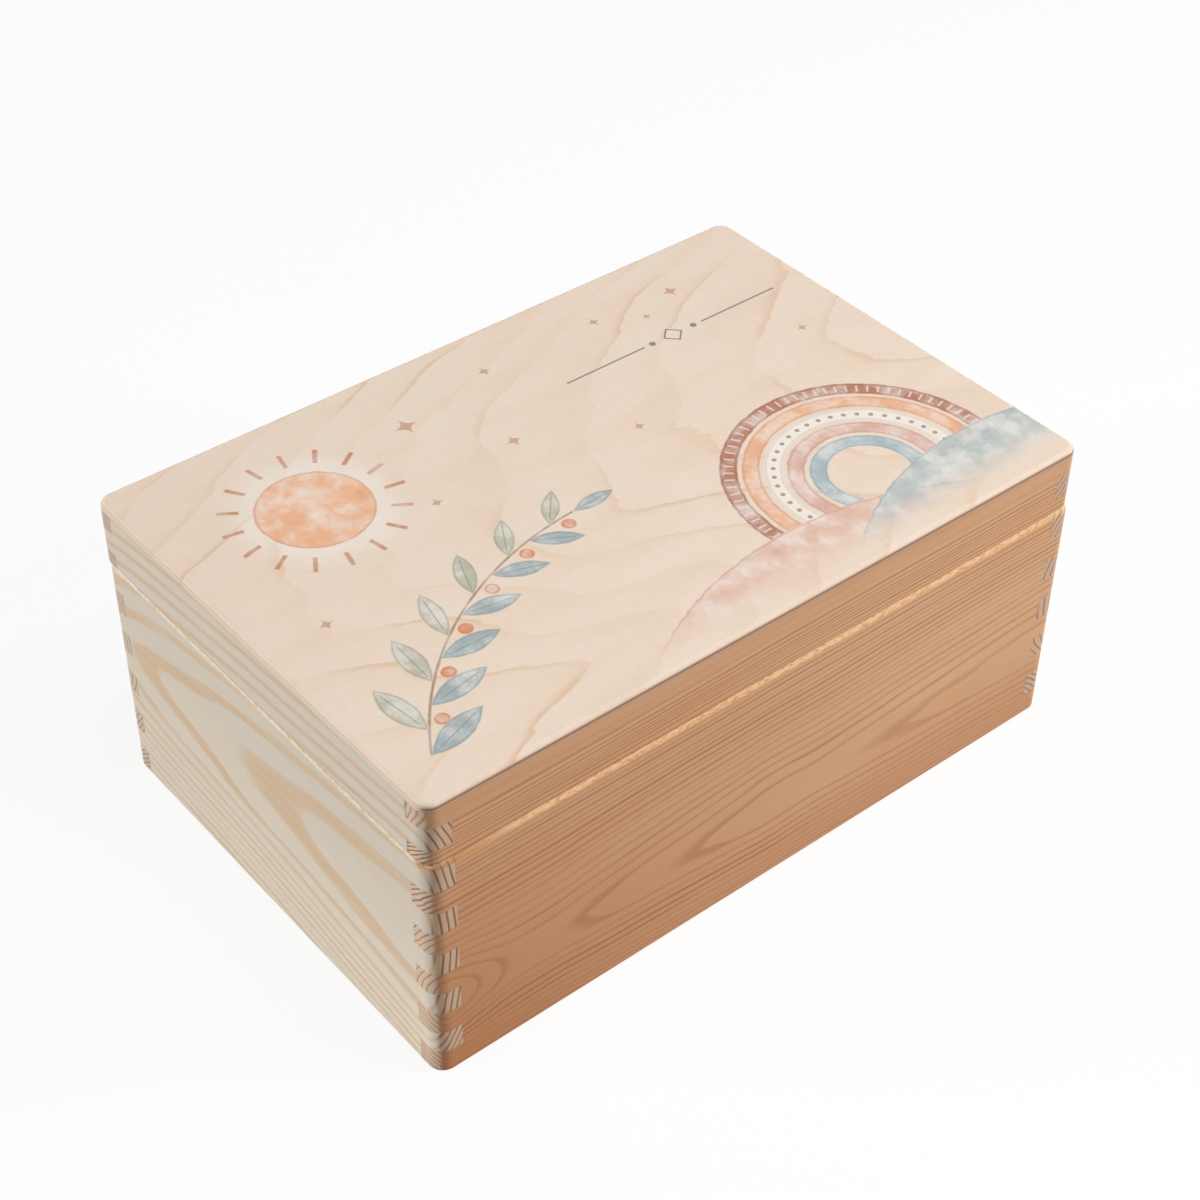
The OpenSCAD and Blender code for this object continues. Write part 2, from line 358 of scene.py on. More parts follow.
def makePineGroup():
    # share = fraction of -ring. It darkens slowly towards 1, as summer wood does, and drops back at
    # once where the next spring wood starts. Each ring has its own strength, by chance.
    pen, given, out = makeGroup(
        "pineGrain", ["Place", "Facing"],
        ["Early", "Late", "Warm", "Heart and bounce light", "End early", "End late", "Edge lit and shaded", "Edge speck", "Edge end"],
        ["Ring", "Seed", "Warmth", "Heart and bounce light share", "Calm", "Bold", "Late start", "Late full", "Faintest",
         "Depth of colour"],
        {"Color": "Color", "Roughness": "Float", "Height": "Float"})
    look = pineLook
    place = given["Place"]
    seed = given["Seed"]
    depth, height = pen.split(place)[1:]
    ring = pen.times(given["Ring"], -1)
    share = pen.math("FRACT", ring)
    rise = pen.ease(share, given["Late start"], given["Late full"])
    fall = pen.ease(share, look["lateEnd"], 1, 1, 0)
    chance = pen.chance(pen.plus(pen.math("FLOOR", ring), seed))
    strength = pen.ramp(chance, 0, 1, given["Faintest"], 1)
    patchy = pen.noise(place, look["patchy"], pen.plus(seed, 3))
    strength = pen.times(strength, pen.ease(patchy, *look["patchyRange"]))
    strength = pen.times(pen.highest(strength, given["Bold"]), pen.minus(1, given["Calm"]))
    late = pen.times(rise, fall, strength)
    streak = pen.noise(place, look["streak"], seed)
    duct = pen.ease(pen.noise(place, look["duct"], pen.plus(seed, 7)), *look["ductRange"])
    duct = pen.times(duct, pen.ease(share, *look["ductInRing"]))

    # The colour on the board's faces, and on the ends of its fingers
    warmShare = pen.ease(pen.noise(place, look["warmPatch"], seed), *look["warmRange"])
    face = pen.mix(pen.times(warmShare, given["Warmth"]), given["Early"], given["Warm"])
    # the heart colour; on the left board it is a painted bounce light from the floor
    face = pen.mix(given["Heart and bounce light share"], face, given["Heart and bounce light"])
    lateShare = pen.math("MULTIPLY", late, given["Depth of colour"], clamp=True)
    face = pen.mix(lateShare, face, given["Late"])
    endStrength = pen.ramp(strength, *look["endStrength"])
    thin = pen.times(pen.math("POWER", rise, 3), fall, endStrength)
    ends = pen.mix(thin, given["End early"], given["End late"])
    alongFacing, _, upFacing = pen.split(given["Facing"])
    endGrain = pen.ease(pen.absolute(alongFacing), *look["endGrain"])
    colour = pen.mix(endGrain, face, ends)

    # The base's rounded top edge: fresh wood with short flecks of cut fibre, brightened with a painted
    # highlight of the light from above
    edgeFoot = baseTop - look["edgeBand"]
    edge = pen.times(pen.ease(height, edgeFoot, edgeFoot + look["edgeSoft"]),
                       pen.math("LESS_THAN", height, baseTop + 0.01))
    rim = pen.ease(pen.absolute(upFacing), *look["rimFacing"])
    edge = pen.times(edge, pen.ease(rim, 0, 1, 1, look["rimShare"]))
    speck = pen.ease(pen.noise(place, look["speck"], seed), *look["speckRange"])
    freshLitAndShaded = pen.mix(speck, given["Edge lit and shaded"], given["Edge speck"])
    freshLitAndShadedEnd = pen.mix(pen.times(thin, look["edgeEndShare"]), given["Edge end"], given["End late"])
    freshLitAndShaded = pen.mix(endGrain, freshLitAndShaded, freshLitAndShadedEnd)
    colour = pen.mix(pen.times(edge, look["edgeShare"]), colour, freshLitAndShaded)

    tone = pen.plus(pen.ramp(streak, *look["streakTone"]),
                      pen.ramp(pen.noise(place, look["fine"], seed), *look["fineTone"]), 1)
    tone = pen.minus(tone, pen.times(duct, look["ductTone"]))
    tone = pen.minus(tone, pen.times(rise, fall, given["Bold"], look["boldTone"]))

    # The line between two fingers, at each finger's upper and lower end
    inLid = pen.math("GREATER_THAN", height, baseTop)
    lidShift = pen.times(inLid, look["lidFingerLevel"] % look["fingerHeight"])
    level = pen.math("DIVIDE", pen.minus(height, lidShift), look["fingerHeight"])
    fromEnd = pen.absolute(pen.minus(level, pen.math("ROUND", level)))
    joint = pen.ease(pen.times(fromEnd, look["fingerHeight"]), 0, look["jointLine"], 1, 0)
    hasFinger = pen.highest(inLid, pen.math("LESS_THAN", height, look["topFinger"]))
    behind = pen.ease(depth, *(boardThickness + inset for inset in look["innerLine"]))
    joint = pen.times(pen.highest(pen.times(joint, hasFinger), behind), endGrain)
    tone = pen.minus(tone, pen.times(joint, look["jointTone"]))

    # The glue line under the plywood top, and a painted shadow: the dark line of the gap at the seam along
    # the lid's lower edge
    glue = pen.ease(pen.absolute(pen.minus(height, railTop)), *look["glueLine"])
    tone = pen.minus(tone, pen.times(glue, look["glueTone"]))
    seamShadow = pen.ease(height, baseTop + look["seamShade"], baseTop + 2 * look["seamShade"], 1, 0)
    tone = pen.minus(tone, pen.times(seamShadow, inLid, look["seamShadowTone"]))

    pen.feed(out["Color"], pen.shade(colour, tone))
    pen.feed(out["Roughness"], pen.ramp(late, 0, 1, *look["roughness"]))
    relief = pen.plus(pen.times(late, look["lateRelief"]), pen.times(streak, look["streakRelief"]))
    pen.feed(out["Height"], pen.minus(relief, pen.times(joint, look["jointRelief"])))
    return pen.tree


def makePine(side, group):
    # Ring number = rise(apart) + slow, quick and crowding noise + centre(along) x fade(apart)
    # - rings round the knot - the blunt tips' part + extra rings below + lean x depth,
    # where apart = sqrt(height from the middle squared + tip radius squared) - tip radius
    look = {**pineLook, **pineShared, **pineSides[side]}
    material, pen, shader = makeMaterial("pine_" + side)
    place, facing = placeInBoard(pen, side)
    along, depth, height = pen.split(place)
    up = pen.minus(height, look["middle"])
    tilted = pen.times(pen.ease(up, *look["tiltFrom"]),
                         pen.ramp(along, *look["tiltAlong"]))
    up = pen.timesPlus(tilted, look["tilt"], up)
    squared = pen.math("POWER", pen.absolute(up), 2)
    apart = pen.math("SQRT", pen.plus(squared, look["tipRadius"] ** 2))
    apart = pen.minus(apart, look["tipRadius"])
    ring = pen.curve(apart, look["rise"])
    ring = pen.nudge(ring, pen.noise(place, look["slow"], look["seed"]), look["wander"])
    ring = pen.nudge(ring, pen.noise(place, look["quick"], look["seed"] + 1), look["ripple"])
    crowd = pen.minus(pen.noise(place, look["crowd"], look["seed"] + 2), 0.5)
    crowd = pen.times(crowd, pen.ease(apart, *look["crowdFrom"]))
    ring = pen.timesPlus(crowd, look["crowding"], ring)
    fade = pen.ease(apart, *look["fade"])
    ring = pen.timesPlus(pen.curve(along, look["centre"]), fade, ring)
    knotAlong, knotRadius, knotRings = look["knot"]
    fromKnot = pen.vector("LENGTH", pen.join(pen.minus(along, knotAlong), up))
    ring = pen.minus(ring, pen.ease(fromKnot, knotRadius, 0, 0, knotRings))
    blunt = pen.times(pen.ease(apart, *look["bluntIn"]), pen.ease(apart, *look["bluntOut"]),
                        pen.ease(along, *look["bluntAlong"], 0, look["blunt"]))
    ring = pen.minus(ring, blunt)
    below = pen.highest(pen.minus(-look["belowStart"], up), 0)
    ring = pen.timesPlus(below, look["belowRate"], ring)
    ring = pen.timesPlus(depth, look["lean"], ring)

    plainStart, plainFull = (look["plain"] + edge for edge in look["plainEdge"])
    calm = pen.ease(height, plainStart, plainFull, 0, look["plainCalm"])
    low, high, boldness = look["bold"]
    bold = pen.times(pen.ease(height, low - look["boldEdge"], low, 0, boldness),
                       pen.ease(height, high, high + look["boldEdge"], 1, 0),
                       pen.ease(along, *look["boldAlong"]))
    (archStart, archFull), (edgeStart, edgeFull) = look["late"]
    archFaintest, edgeFaintest, lidFaintest = look["faintest"]
    faintest = pen.highest(pen.ease(apart, *look["faintFrom"], archFaintest, edgeFaintest),
                             pen.ease(height, baseTop, baseTop + look["lidEdge"], 0, lidFaintest))
    # The heart colour's share; on the left board it is a painted bounce light, strongest towards its foot
    # and front end
    heartAndBounceShare = pen.times(pen.ramp(height, *look["heartAndBounceHeight"]),
                             pen.ramp(along, *look["heartAndBounceAlong"]), look["heartAndBounceShare"])
    heartAndBounceShare = pen.highest(heartAndBounceShare, pen.ease(height, *look["footHeight"], 0, look["foot"]))
    heartAndBounceShare = pen.timesPlus(calm, look["plainHeart"], heartAndBounceShare, clamp=True)
    # Painted shade: the edge's colour darkens towards the corner over edgeTurn
    edgeLitAndShaded = pen.mix(pen.ease(along, *look["edgeTurn"]), look["edge"], look["edgeCornerShade"])
    grain = pen.group(group, {
        **look["colours"], "Edge lit and shaded": edgeLitAndShaded, "Warmth": look["warmth"], "Heart and bounce light share": heartAndBounceShare,
        "Place": place, "Facing": facing, "Ring": ring, "Seed": look["seed"], "Calm": calm, "Bold": bold,
        "Late start": pen.ease(apart, *look["lateFrom"], archStart, edgeStart),
        "Late full": pen.ease(apart, *look["lateFrom"], archFull, edgeFull),
        "Faintest": faintest,
        "Depth of colour": pen.ease(apart, *look["depthFrom"], look["archDepth"], look["edgeDepth"]),
    })
    coverShader(pen, shader, grain["Color"], grain["Roughness"], grain["Height"], look)
    return material


# Birch plywood. Each veneer was peeled off the log, so its rings are wide wandering contour lines.

birchLook = {
    "axis": -75,  # where the nested tips lie across the sheet, mm
    "spacing": 42,  # from one tip to the next, mm
    # (mm off the axis, mm that a line lies behind its tip); far off the axis the lines turn back
    "spread": [(0, 0), (20, 24), (45, 58), (70, 82), (88, 88), (108, 72), (135, 30), (180, -60)],
    "tipRadius": 3,
    "drift": 2.5,  # how many contours the slow noise moves a line
    "ripple": 0.24,  # and the quick one
    # Noises
    "slow": (110, 46, 40, 1, 0.4), "quick": (26, 5, 5, 2, 0.5), "gone": (75, 40, 40, 1, 0.5),
    "cloud": (60, 14, 14, 2, 0.5), "flecks": (2.2, 0.22, 0.22, 0, 0.5), "fibre": (26, 0.5, 0.5, 3, 0.6),
    "curl": (3.5, 30, 30, 1, 0.5),
    # Ranges in one contour's share, and on the noises
    "bodyRange": (0.25, 0.95), "lineRise": (0.84, 0.97), "lineFall": (0.975, 1, 1, 0),
    "lineStrength": (0.1, 0.6), "goneRange": (0.4, 0.62), "cloudRange": (0.35, 0.7, 0, 0.4),
    "fleckRange": (0.66, 0.78), "fibreTone": (0.25, 0.75, 0.985, 1.012),
    "curlTone": (0.25, 0.75, -0.01, 0.01), "bodyShare": 0.35, "fleckShare": 0.3,
    "light": "efdcca", "dark": "e9d2bb", "line": "dcb48c", "fleck": "d0b294", "specular": 0.3,
    "bump": (0.3, 0.00004),  # strength, depth in metres
    "topSeed": 5, "topRoughness": 0.6, "bottomSeed": 19, "bottomRoughness": 0.65,
}

# The edge of the top's sheet, in shares of its thickness
plyEdgeLook = {
    "glue": "8f6f55", "core": "e2c9a8", "frontDark": "a0755a",
    "printFacing": (0.75, 0.97),  # how far up the printed surface faces
    "coreIn": (0.30, 0.34),  # the middle veneer shows its end grain
    "coreOut": (0.64, 0.68, 1, 0), "coreShare": 0.6,
    "endFacing": (0.2, 0.8, 0.25, 1),  # the layers show most at the left and right ends
    "frontDarkIn": (0.08, 0.27, 0.4, 1),  # the front edge is darker
    "frontDarkOut": (0.42, 0.66, 1, 0.1), "frontFacing": (0.3, 0.75),
    "glueLines": ((0, 0.25), (0.34, 0.3), (0.67, 0.45)),  # (height, strength)
    "glueWidth": (0.01, 0.07),
}


def makeBirchGroup():
    # Contour number = (x + spread(distance from the axis)) / spacing + slow noise + ripple, which
    # nests long lines round pointed tips, as on peeled veneer; each whole number is a thin line
    pen, given, out = makeGroup("birchVeneer", ["Place"], [], ["Seed"],
                                  {"Color": "Color", "Height": "Float"})
    look = birchLook
    place = given["Place"]
    seed = given["Seed"]
    x, y = pen.split(place)[:2]
    off = pen.math("POWER", pen.minus(y, look["axis"]), 2)
    off = pen.math("SQRT", pen.plus(off, look["tipRadius"] ** 2))
    level = pen.math("DIVIDE", pen.plus(x, pen.curve(off, look["spread"])), look["spacing"])
    level = pen.nudge(level, pen.noise(place, look["slow"], seed), look["drift"])
    level = pen.nudge(level, pen.noise(place, look["quick"], seed), look["ripple"])
    share = pen.math("FRACT", level)
    chance = pen.chance(pen.plus(pen.math("FLOOR", level), seed))
    gone = pen.noise(place, look["gone"], pen.plus(seed, 4))
    line = pen.times(pen.ease(share, *look["lineRise"]), pen.ease(share, *look["lineFall"]),
                       pen.ramp(chance, 0, 1, *look["lineStrength"]),
                       pen.ease(gone, *look["goneRange"]))
    cloud = pen.ease(pen.noise(place, look["cloud"], seed), *look["cloudRange"])
    body = pen.timesPlus(pen.ease(share, *look["bodyRange"]), look["bodyShare"], cloud)
    colour = pen.mix(body, look["light"], look["dark"])
    colour = pen.mix(line, colour, look["line"])
    flecks = pen.noise(place, look["flecks"], seed)
    fleckShare = pen.ease(flecks, *look["fleckRange"], 0, look["fleckShare"])
    colour = pen.mix(fleckShare, colour, look["fleck"])
    fibre = pen.noise(place, look["fibre"], seed)
    curl = pen.noise(place, look["curl"], seed)
    tone = pen.plus(pen.ramp(fibre, *look["fibreTone"]),
                      pen.ramp(curl, *look["curlTone"]))
    pen.feed(out["Color"], pen.shade(colour, tone))
    pen.feed(out["Height"], pen.minus(fibre, pen.ease(flecks, *look["fleckRange"])))
    return pen.tree


# The design printed on the lid: washes of soft colour in plain shapes. A shape is a distance in mm,
# below zero inside it. A wash is (seed, strength, wobble), and its wobble is how far its edge
# wanders, in mm.

washLook = {
    "white": "f7f2ec",  # the ground that a thin wash lets through
    "edge": (4.5, 4.5, 4.5, 3, 0.55), "cloud": (12, 12, 12, 4, 0.62),
    "softness": 0.3,  # mm to each side over which the edge fades
    "rimInset": 0.55, "rimWidth": 0.7, "rimShare": 0.5, "pale": (0.4, 0.66, 0, 0.62),
    "deep": (0.42, 0.28, 0, 0.35),
    "strong": (0.66, 0.6, 0.58, 1),  # what gathered pigment is multiplied by
}

printLook = {
    "markEdge": 0.15,
    "arches": {
        "centre": (78, -62), "foot": -72, "width": 6.6,
        "bands": [(52, "b1735a"), (43.8, "eab08a"), (35.6, "f3ebe1"), (27.4, "dcb1a2"), (19.2, "a7bac1")],
        "wash": (70, 0.92, 1.5),
        # radius, gap, then a dot's radius or a stroke's half width and half length, colour, strength
        "dots": (35.6, 5.2, 0.95, "a5806c", 0.85),
        "strokes": (52, 4.1, 0.45, 1.9, "f1dccb", 0.75),
    },
    # (centre x, centre y, radius), colour
    "hills": [((30, -214, 146), "e2bba8"), ((122, -190, 126), "b4bfbf")],
    "hillSeed": 60, "hillWobble": 2.2,
    "hillFade": (-95, -76, 0, 0.9),  # they fade out towards the front edge
    "sun": {
        "centre": (-92, 46), "radius": 22, "colour": "efb287", "wash": (80, 0.9, 1.5),
        "glow": (14, 0, 0, 0.45),
        "rays": 16, "rayFrom": 27, "rayTo": 35, "rayHalf": 0.9,
        "rayColour": "cf8357", "rayWash": (81, 0.8, 0.7),
    },
    "sprig": {
        "centre": (-14, -150), "radius": 138, "angles": (150, 93), "stem": 0.5,
        "stemColour": "a98a72", "stemWash": (90, 0.9, 0.5),
        "leaves": 13, "halfLength": 12.5, "halfWidth": 4.5, "spread": 42, "scale": (1.1, 0.75),
        "gap": 0.5,  # from the stem to a leaf's foot, mm
        "leafColours": ("9aacb0", "b5b5a0"), "leafWash": (91, 0.88, 0.9),
        "veinColour": "74858a", "veinShare": 0.55, "veinWidth": (0.4, 0.1), "veinReach": (0.9, 0.6),
        "berry": 2.8, "berryAway": 4, "berryColour": "dd8b5c", "berryWash": (95, 0.9, 0.6),
    },
    "line": {
        "y": 50, "from": 26, "to": 132, "half": 0.42, "dot": 1.4, "dotGap": 10.5,
        "barGap": 14.5, "diamond": 5.5, "diamondInset": 1.2, "diamondHalf": 0.5,
        "colour": "6d7680", "strength": 0.85,
    },
    # (x, y, size)
    "stars": [(-38, 66, 6), (-12, 34, 4.2), (6, 76, 3.6), (60, 76, 3.4), (98, 74, 4.6),
              (79, 66, 2.6), (-56, 22, 3.2), (30, 12, 3.2), (122, 22, 3), (-124, -8, 3.6)],
    "starColour": "c79a7c", "starStrength": 0.8,
}


def makeWashGroup():
    # Colour = the pigment over what is under it. Its edge wanders with noise, it is darker along its
    # rim where the wet colour gathered, and paler where a slow noise is high.
    pen, given, out = makeGroup("washPrint", ["Place"], ["Under", "Pigment"],
                                  ["Distance", "Strength", "Seed", "Wobble"], {"Color": "Color"})
    look = washLook
    edge = pen.noise(given["Place"], look["edge"], given["Seed"])
    distance = pen.nudge(given["Distance"], edge, given["Wobble"])
    cover = pen.ease(distance, look["softness"], -look["softness"])
    fromRim = pen.absolute(pen.plus(distance, look["rimInset"]))
    rim = pen.ease(fromRim, look["rimWidth"], 0, 0, look["rimShare"])
    cloud = pen.noise(given["Place"], look["cloud"], pen.plus(given["Seed"], 5))
    pigment = pen.mix(pen.ease(cloud, *look["pale"]), given["Pigment"], look["white"])
    strong = pen.mix(1, given["Pigment"], look["strong"], "MULTIPLY")
    pigment = pen.mix(pen.highest(rim, pen.ease(cloud, *look["deep"])), pigment, strong)
    pen.feed(out["Color"], pen.mix(pen.times(cover, given["Strength"]), given["Under"], pigment))
    return pen.tree


def makeLeafGroup():
    # u runs along the leaf and v across it: distance = |v| - half width x (1 - (u / half length)^2)
    pen, given, out = makeGroup("leafShape", ["Place", "Centre", "Along", "Across"], [],
                                  ["Half length", "Half width"], {"Distance": "Float", "Vein": "Float"})
    sprig = printLook["sprig"]
    offset = pen.vector("SUBTRACT", given["Place"], given["Centre"])
    u = pen.math("DIVIDE", pen.vector("DOT_PRODUCT", offset, given["Along"]), given["Half length"])
    v = pen.absolute(pen.vector("DOT_PRODUCT", offset, given["Across"]))
    bulge = pen.minus(1, pen.times(u, u))
    pen.feed(out["Distance"], pen.minus(v, pen.times(bulge, given["Half width"])))
    reach = pen.ease(pen.absolute(u), *sprig["veinReach"])
    pen.feed(out["Vein"], pen.times(pen.ease(v, *sprig["veinWidth"]), reach))
    return pen.tree


def discDistance(pen, place, x, y, radius):
    # distance from the centre - radius
    return pen.minus(pen.vector("DISTANCE", place, (x, y, 0)), radius)


def starDistance(pen, place, x, y, size):
    # Four points: (sqrt|u| + sqrt|v|)^2 - size
    u, v, _ = pen.split(pen.vector("SUBTRACT", place, (x, y, 0)))
    roots = [pen.math("SQRT", pen.absolute(part)) for part in (u, v)]
    return pen.minus(pen.math("POWER", pen.plus(*roots), 2), size)


def printDesign(pen, place, wood):
    # The wood's colour with the design over it, one motif after another
    look = printLook
    washGroup, leafGroup = makeWashGroup(), makeLeafGroup()
    x, y, _ = pen.split(place)
    flat = pen.join(x, y)
    colour = wood

    def wash(under, distance, code, seed, strength, wobble):
        # the wash group's colour: pigment where the distance is below zero
        return pen.group(washGroup, {
            "Under": under, "Place": flat, "Distance": distance, "Pigment": code,
            "Strength": strength, "Seed": seed, "Wobble": wobble,
        })["Color"]

    def mark(under, distance, code, strength):
        # a crisp mark: its share goes from 0 to strength across the line where the distance is zero
        share = pen.ease(distance, look["markEdge"], -look["markEdge"], 0, strength)
        return pen.mix(share, under, code)

    # Nested arches: the distance to a band is |radius - band's radius| - half its width
    arches = look["arches"]
    toCentre = pen.vector("SUBTRACT", flat, (*arches["centre"], 0))
    across, upward, _ = pen.split(toCentre)
    radius = pen.vector("LENGTH", toCentre)
    turn = pen.math("ARCTAN2", upward, across)
    foot = pen.minus(arches["foot"], y)
    seed, strength, wobble = arches["wash"]
    for number, (bandRadius, code) in enumerate(arches["bands"]):
        band = pen.minus(pen.absolute(pen.minus(radius, bandRadius)), arches["width"] / 2)
        colour = wash(colour, pen.highest(band, foot), code, seed + number, strength, wobble)

    def roundTheArch(bandRadius, gap):
        # along = (fraction of turn x radius / gap, less a half) x gap; outward = radius - band's radius
        turns = pen.math("FRACT", pen.times(turn, bandRadius / gap))
        return pen.times(pen.minus(turns, 0.5), gap), pen.minus(radius, bandRadius)

    bandRadius, gap, size, code, strength = arches["dots"]
    dots = pen.minus(pen.vector("LENGTH", pen.join(*roundTheArch(bandRadius, gap))), size)
    colour = mark(colour, pen.highest(dots, foot), code, strength)
    bandRadius, gap, halfWide, halfLong, code, strength = arches["strokes"]
    along, outward = roundTheArch(bandRadius, gap)
    strokes = pen.highest(pen.minus(pen.absolute(along), halfWide),
                            pen.minus(pen.absolute(outward), halfLong))
    colour = mark(colour, pen.highest(strokes, foot), code, strength)

    hillStrength = pen.ease(y, *look["hillFade"])
    for number, (hill, code) in enumerate(look["hills"]):
        disc = discDistance(pen, flat, *hill)
        colour = wash(colour, disc, code, look["hillSeed"] + number, hillStrength, look["hillWobble"])

    # The sun: a disc with a pale glow, and rays at even turns round it
    sun = look["sun"]
    disc = discDistance(pen, flat, *sun["centre"], sun["radius"])
    colour = pen.mix(pen.ease(disc, *sun["glow"]), colour, washLook["white"])
    colour = wash(colour, disc, sun["colour"], *sun["wash"])
    side, above, _ = pen.split(pen.vector("SUBTRACT", flat, (*sun["centre"], 0)))
    turns = pen.times(pen.math("ARCTAN2", above, side), sun["rays"] / (2 * math.pi))
    away = pen.absolute(pen.minus(pen.math("FRACT", turns), 0.5))
    reach = pen.plus(disc, sun["radius"])
    ray = pen.times(away, pen.times(reach, 2 * math.pi / sun["rays"]))
    middle, half = (sun["rayFrom"] + sun["rayTo"]) / 2, (sun["rayTo"] - sun["rayFrom"]) / 2
    ends = pen.minus(pen.absolute(pen.minus(reach, middle)), half)
    ray = pen.highest(pen.minus(ray, sun["rayHalf"]), ends)
    colour = wash(colour, ray, sun["rayColour"], *sun["rayWash"])

    # The sprig: leaves to both sides of an arc, with berries between them
    sprig = look["sprig"]
    centre = np.array(sprig["centre"])
    angles = np.radians(np.linspace(*sprig["angles"], sprig["leaves"]))
    points = centre + sprig["radius"] * np.stack([np.cos(angles), np.sin(angles)], 1)
    hand = np.where(np.arange(len(angles)) % 2, 1, -1)
    hand[-1] = 0
    lean = angles - math.pi / 2 + hand * math.radians(sprig["spread"])
    scale = np.linspace(*sprig["scale"], len(angles))
    stem = pen.absolute(discDistance(pen, flat, *sprig["centre"], sprig["radius"]))
    stem = pen.minus(stem, sprig["stem"])
    toCentre = pen.vector("SUBTRACT", flat, (*sprig["centre"], 0))
    for angle, side in ((angles[0], 1), (angles[-1], -1)):
        past = pen.vector("DOT_PRODUCT", toCentre, (-math.sin(angle), math.cos(angle), 0))
        stem = pen.highest(stem, pen.times(past, side))
    stem = pen.highest(stem, pen.minus(sprig["centre"][1], y))
    colour = wash(colour, stem, sprig["stemColour"], *sprig["stemWash"])
    veins = []
    seed, strength, wobble = sprig["leafWash"]
    for parity, code in enumerate(sprig["leafColours"]):
        distances = []
        for number in range(parity, len(angles), 2):
            along = np.array([math.cos(lean[number]), math.sin(lean[number])])
            halfLong = sprig["halfLength"] * scale[number]
            leaf = pen.group(leafGroup, {
                "Place": flat, "Centre": (*(points[number] + along * (halfLong + sprig["gap"])), 0),
                "Along": (*along, 0), "Across": (-along[1], along[0], 0),
                "Half length": halfLong, "Half width": sprig["halfWidth"] * scale[number],
            })
            distances.append(leaf["Distance"])
            veins.append(leaf["Vein"])
        colour = wash(colour, pen.lowest(*distances), code, seed + parity, strength, wobble)
    vein = pen.times(pen.highest(*veins), sprig["veinShare"])
    colour = pen.mix(vein, colour, sprig["veinColour"])
    halfway = (points[:-1] + points[1:]) / 2
    outward = (halfway - centre) / np.linalg.norm(halfway - centre, axis=1)[:, None]
    berries = halfway - outward * hand[:-1, None] * sprig["berryAway"]
    discs = [discDistance(pen, flat, *map(float, spot), sprig["berry"]) for spot in berries[1::2]]
    colour = wash(colour, pen.lowest(*discs), sprig["berryColour"], *sprig["berryWash"])

    # The ornamental line: two bars, two dots and a hollow diamond
    line = look["line"]
    middle, half = (line["from"] + line["to"]) / 2, (line["to"] - line["from"]) / 2
    side = pen.absolute(pen.minus(x, middle))
    level = pen.absolute(pen.minus(y, line["y"]))
    bar = pen.highest(pen.minus(level, line["half"]), pen.minus(side, half),
                        pen.minus(line["barGap"], side))
    diamond = pen.minus(pen.plus(side, level), line["diamond"])
    hollow = pen.absolute(pen.plus(diamond, line["diamondInset"]))
    hollow = pen.minus(hollow, line["diamondHalf"])
    toDot = pen.vector("LENGTH", pen.join(pen.minus(side, line["dotGap"]), level))
    shapes = pen.lowest(bar, hollow, pen.minus(toDot, line["dot"]))
    colour = mark(colour, shapes, line["colour"], line["strength"])
    stars = [starDistance(pen, flat, *star) for star in look["stars"]]
    return mark(colour, pen.lowest(*stars), look["starColour"], look["starStrength"])


def makeTopPly(group):
    # The veneer with the design on its upper face; its edge shows three veneers and two glue lines
    look = birchLook
    edge = plyEdgeLook
    material, pen, shader = makeMaterial("birch_ply_top")
    place, facing = placeOnObject(pen)
    veneer = pen.group(group, {"Place": place, "Seed": look["topSeed"]})
    endwise, backward, upward = pen.split(facing)
    printed = printDesign(pen, place, veneer["Color"])
    colour = pen.mix(pen.ease(upward, *edge["printFacing"]), veneer["Color"], printed)
    height = pen.split(place)[2]
    up = pen.math("DIVIDE", pen.minus(height, railTop), lidTop - railTop)
    layered = pen.ease(pen.absolute(endwise), *edge["endFacing"])
    core = pen.times(pen.ease(up, *edge["coreIn"]), pen.ease(up, *edge["coreOut"]),
                       layered, edge["coreShare"])
    colour = pen.mix(core, colour, edge["core"])
    # The front edge is darker over its lower part
    frontDark = pen.times(pen.ease(up, *edge["frontDarkIn"]), pen.ease(up, *edge["frontDarkOut"]),
                        pen.ease(pen.times(backward, -1), *edge["frontFacing"]))
    colour = pen.mix(frontDark, colour, edge["frontDark"])
    for level, strength in edge["glueLines"]:
        near = pen.absolute(pen.minus(up, level))
        seen = pen.ease(near, *edge["glueWidth"], strength, 0)
        if level:
            seen = pen.times(seen, layered)
        colour = pen.mix(seen, colour, edge["glue"])
    coverShader(pen, shader, colour, look["topRoughness"], veneer["Height"], look)
    return material


def makeBottomPly(group):
    # The bare veneer
    look = birchLook
    material, pen, shader = makeMaterial("birch_ply_bottom")
    veneer = pen.group(group, {"Place": placeOnObject(pen)[0], "Seed": look["bottomSeed"]})
    coverShader(pen, shader, veneer["Color"], look["bottomRoughness"], veneer["Height"], look)
    return material


# Brass, drawn and tumbled: short scratches, a little tarnish

brassLook = {
    "leaf": {"clean": "c9a352", "tarnish": "8f6b32", "roughness": (0.26, 0.44), "seed": 2},
    "fixing": {"clean": "d8b566", "tarnish": "a07c3e", "roughness": (0.2, 0.36), "seed": 9},
}

brassShared = {
    "cloud": (4, 4, 4, 4, 0.6), "scratch": (3, 0.05, 0.05, 2, 0.5), "dullRange": (0.45, 0.7),
    "dullShare": 0.6,
    "bump": (0.2, 0.00002),  # strength, depth in metres
}


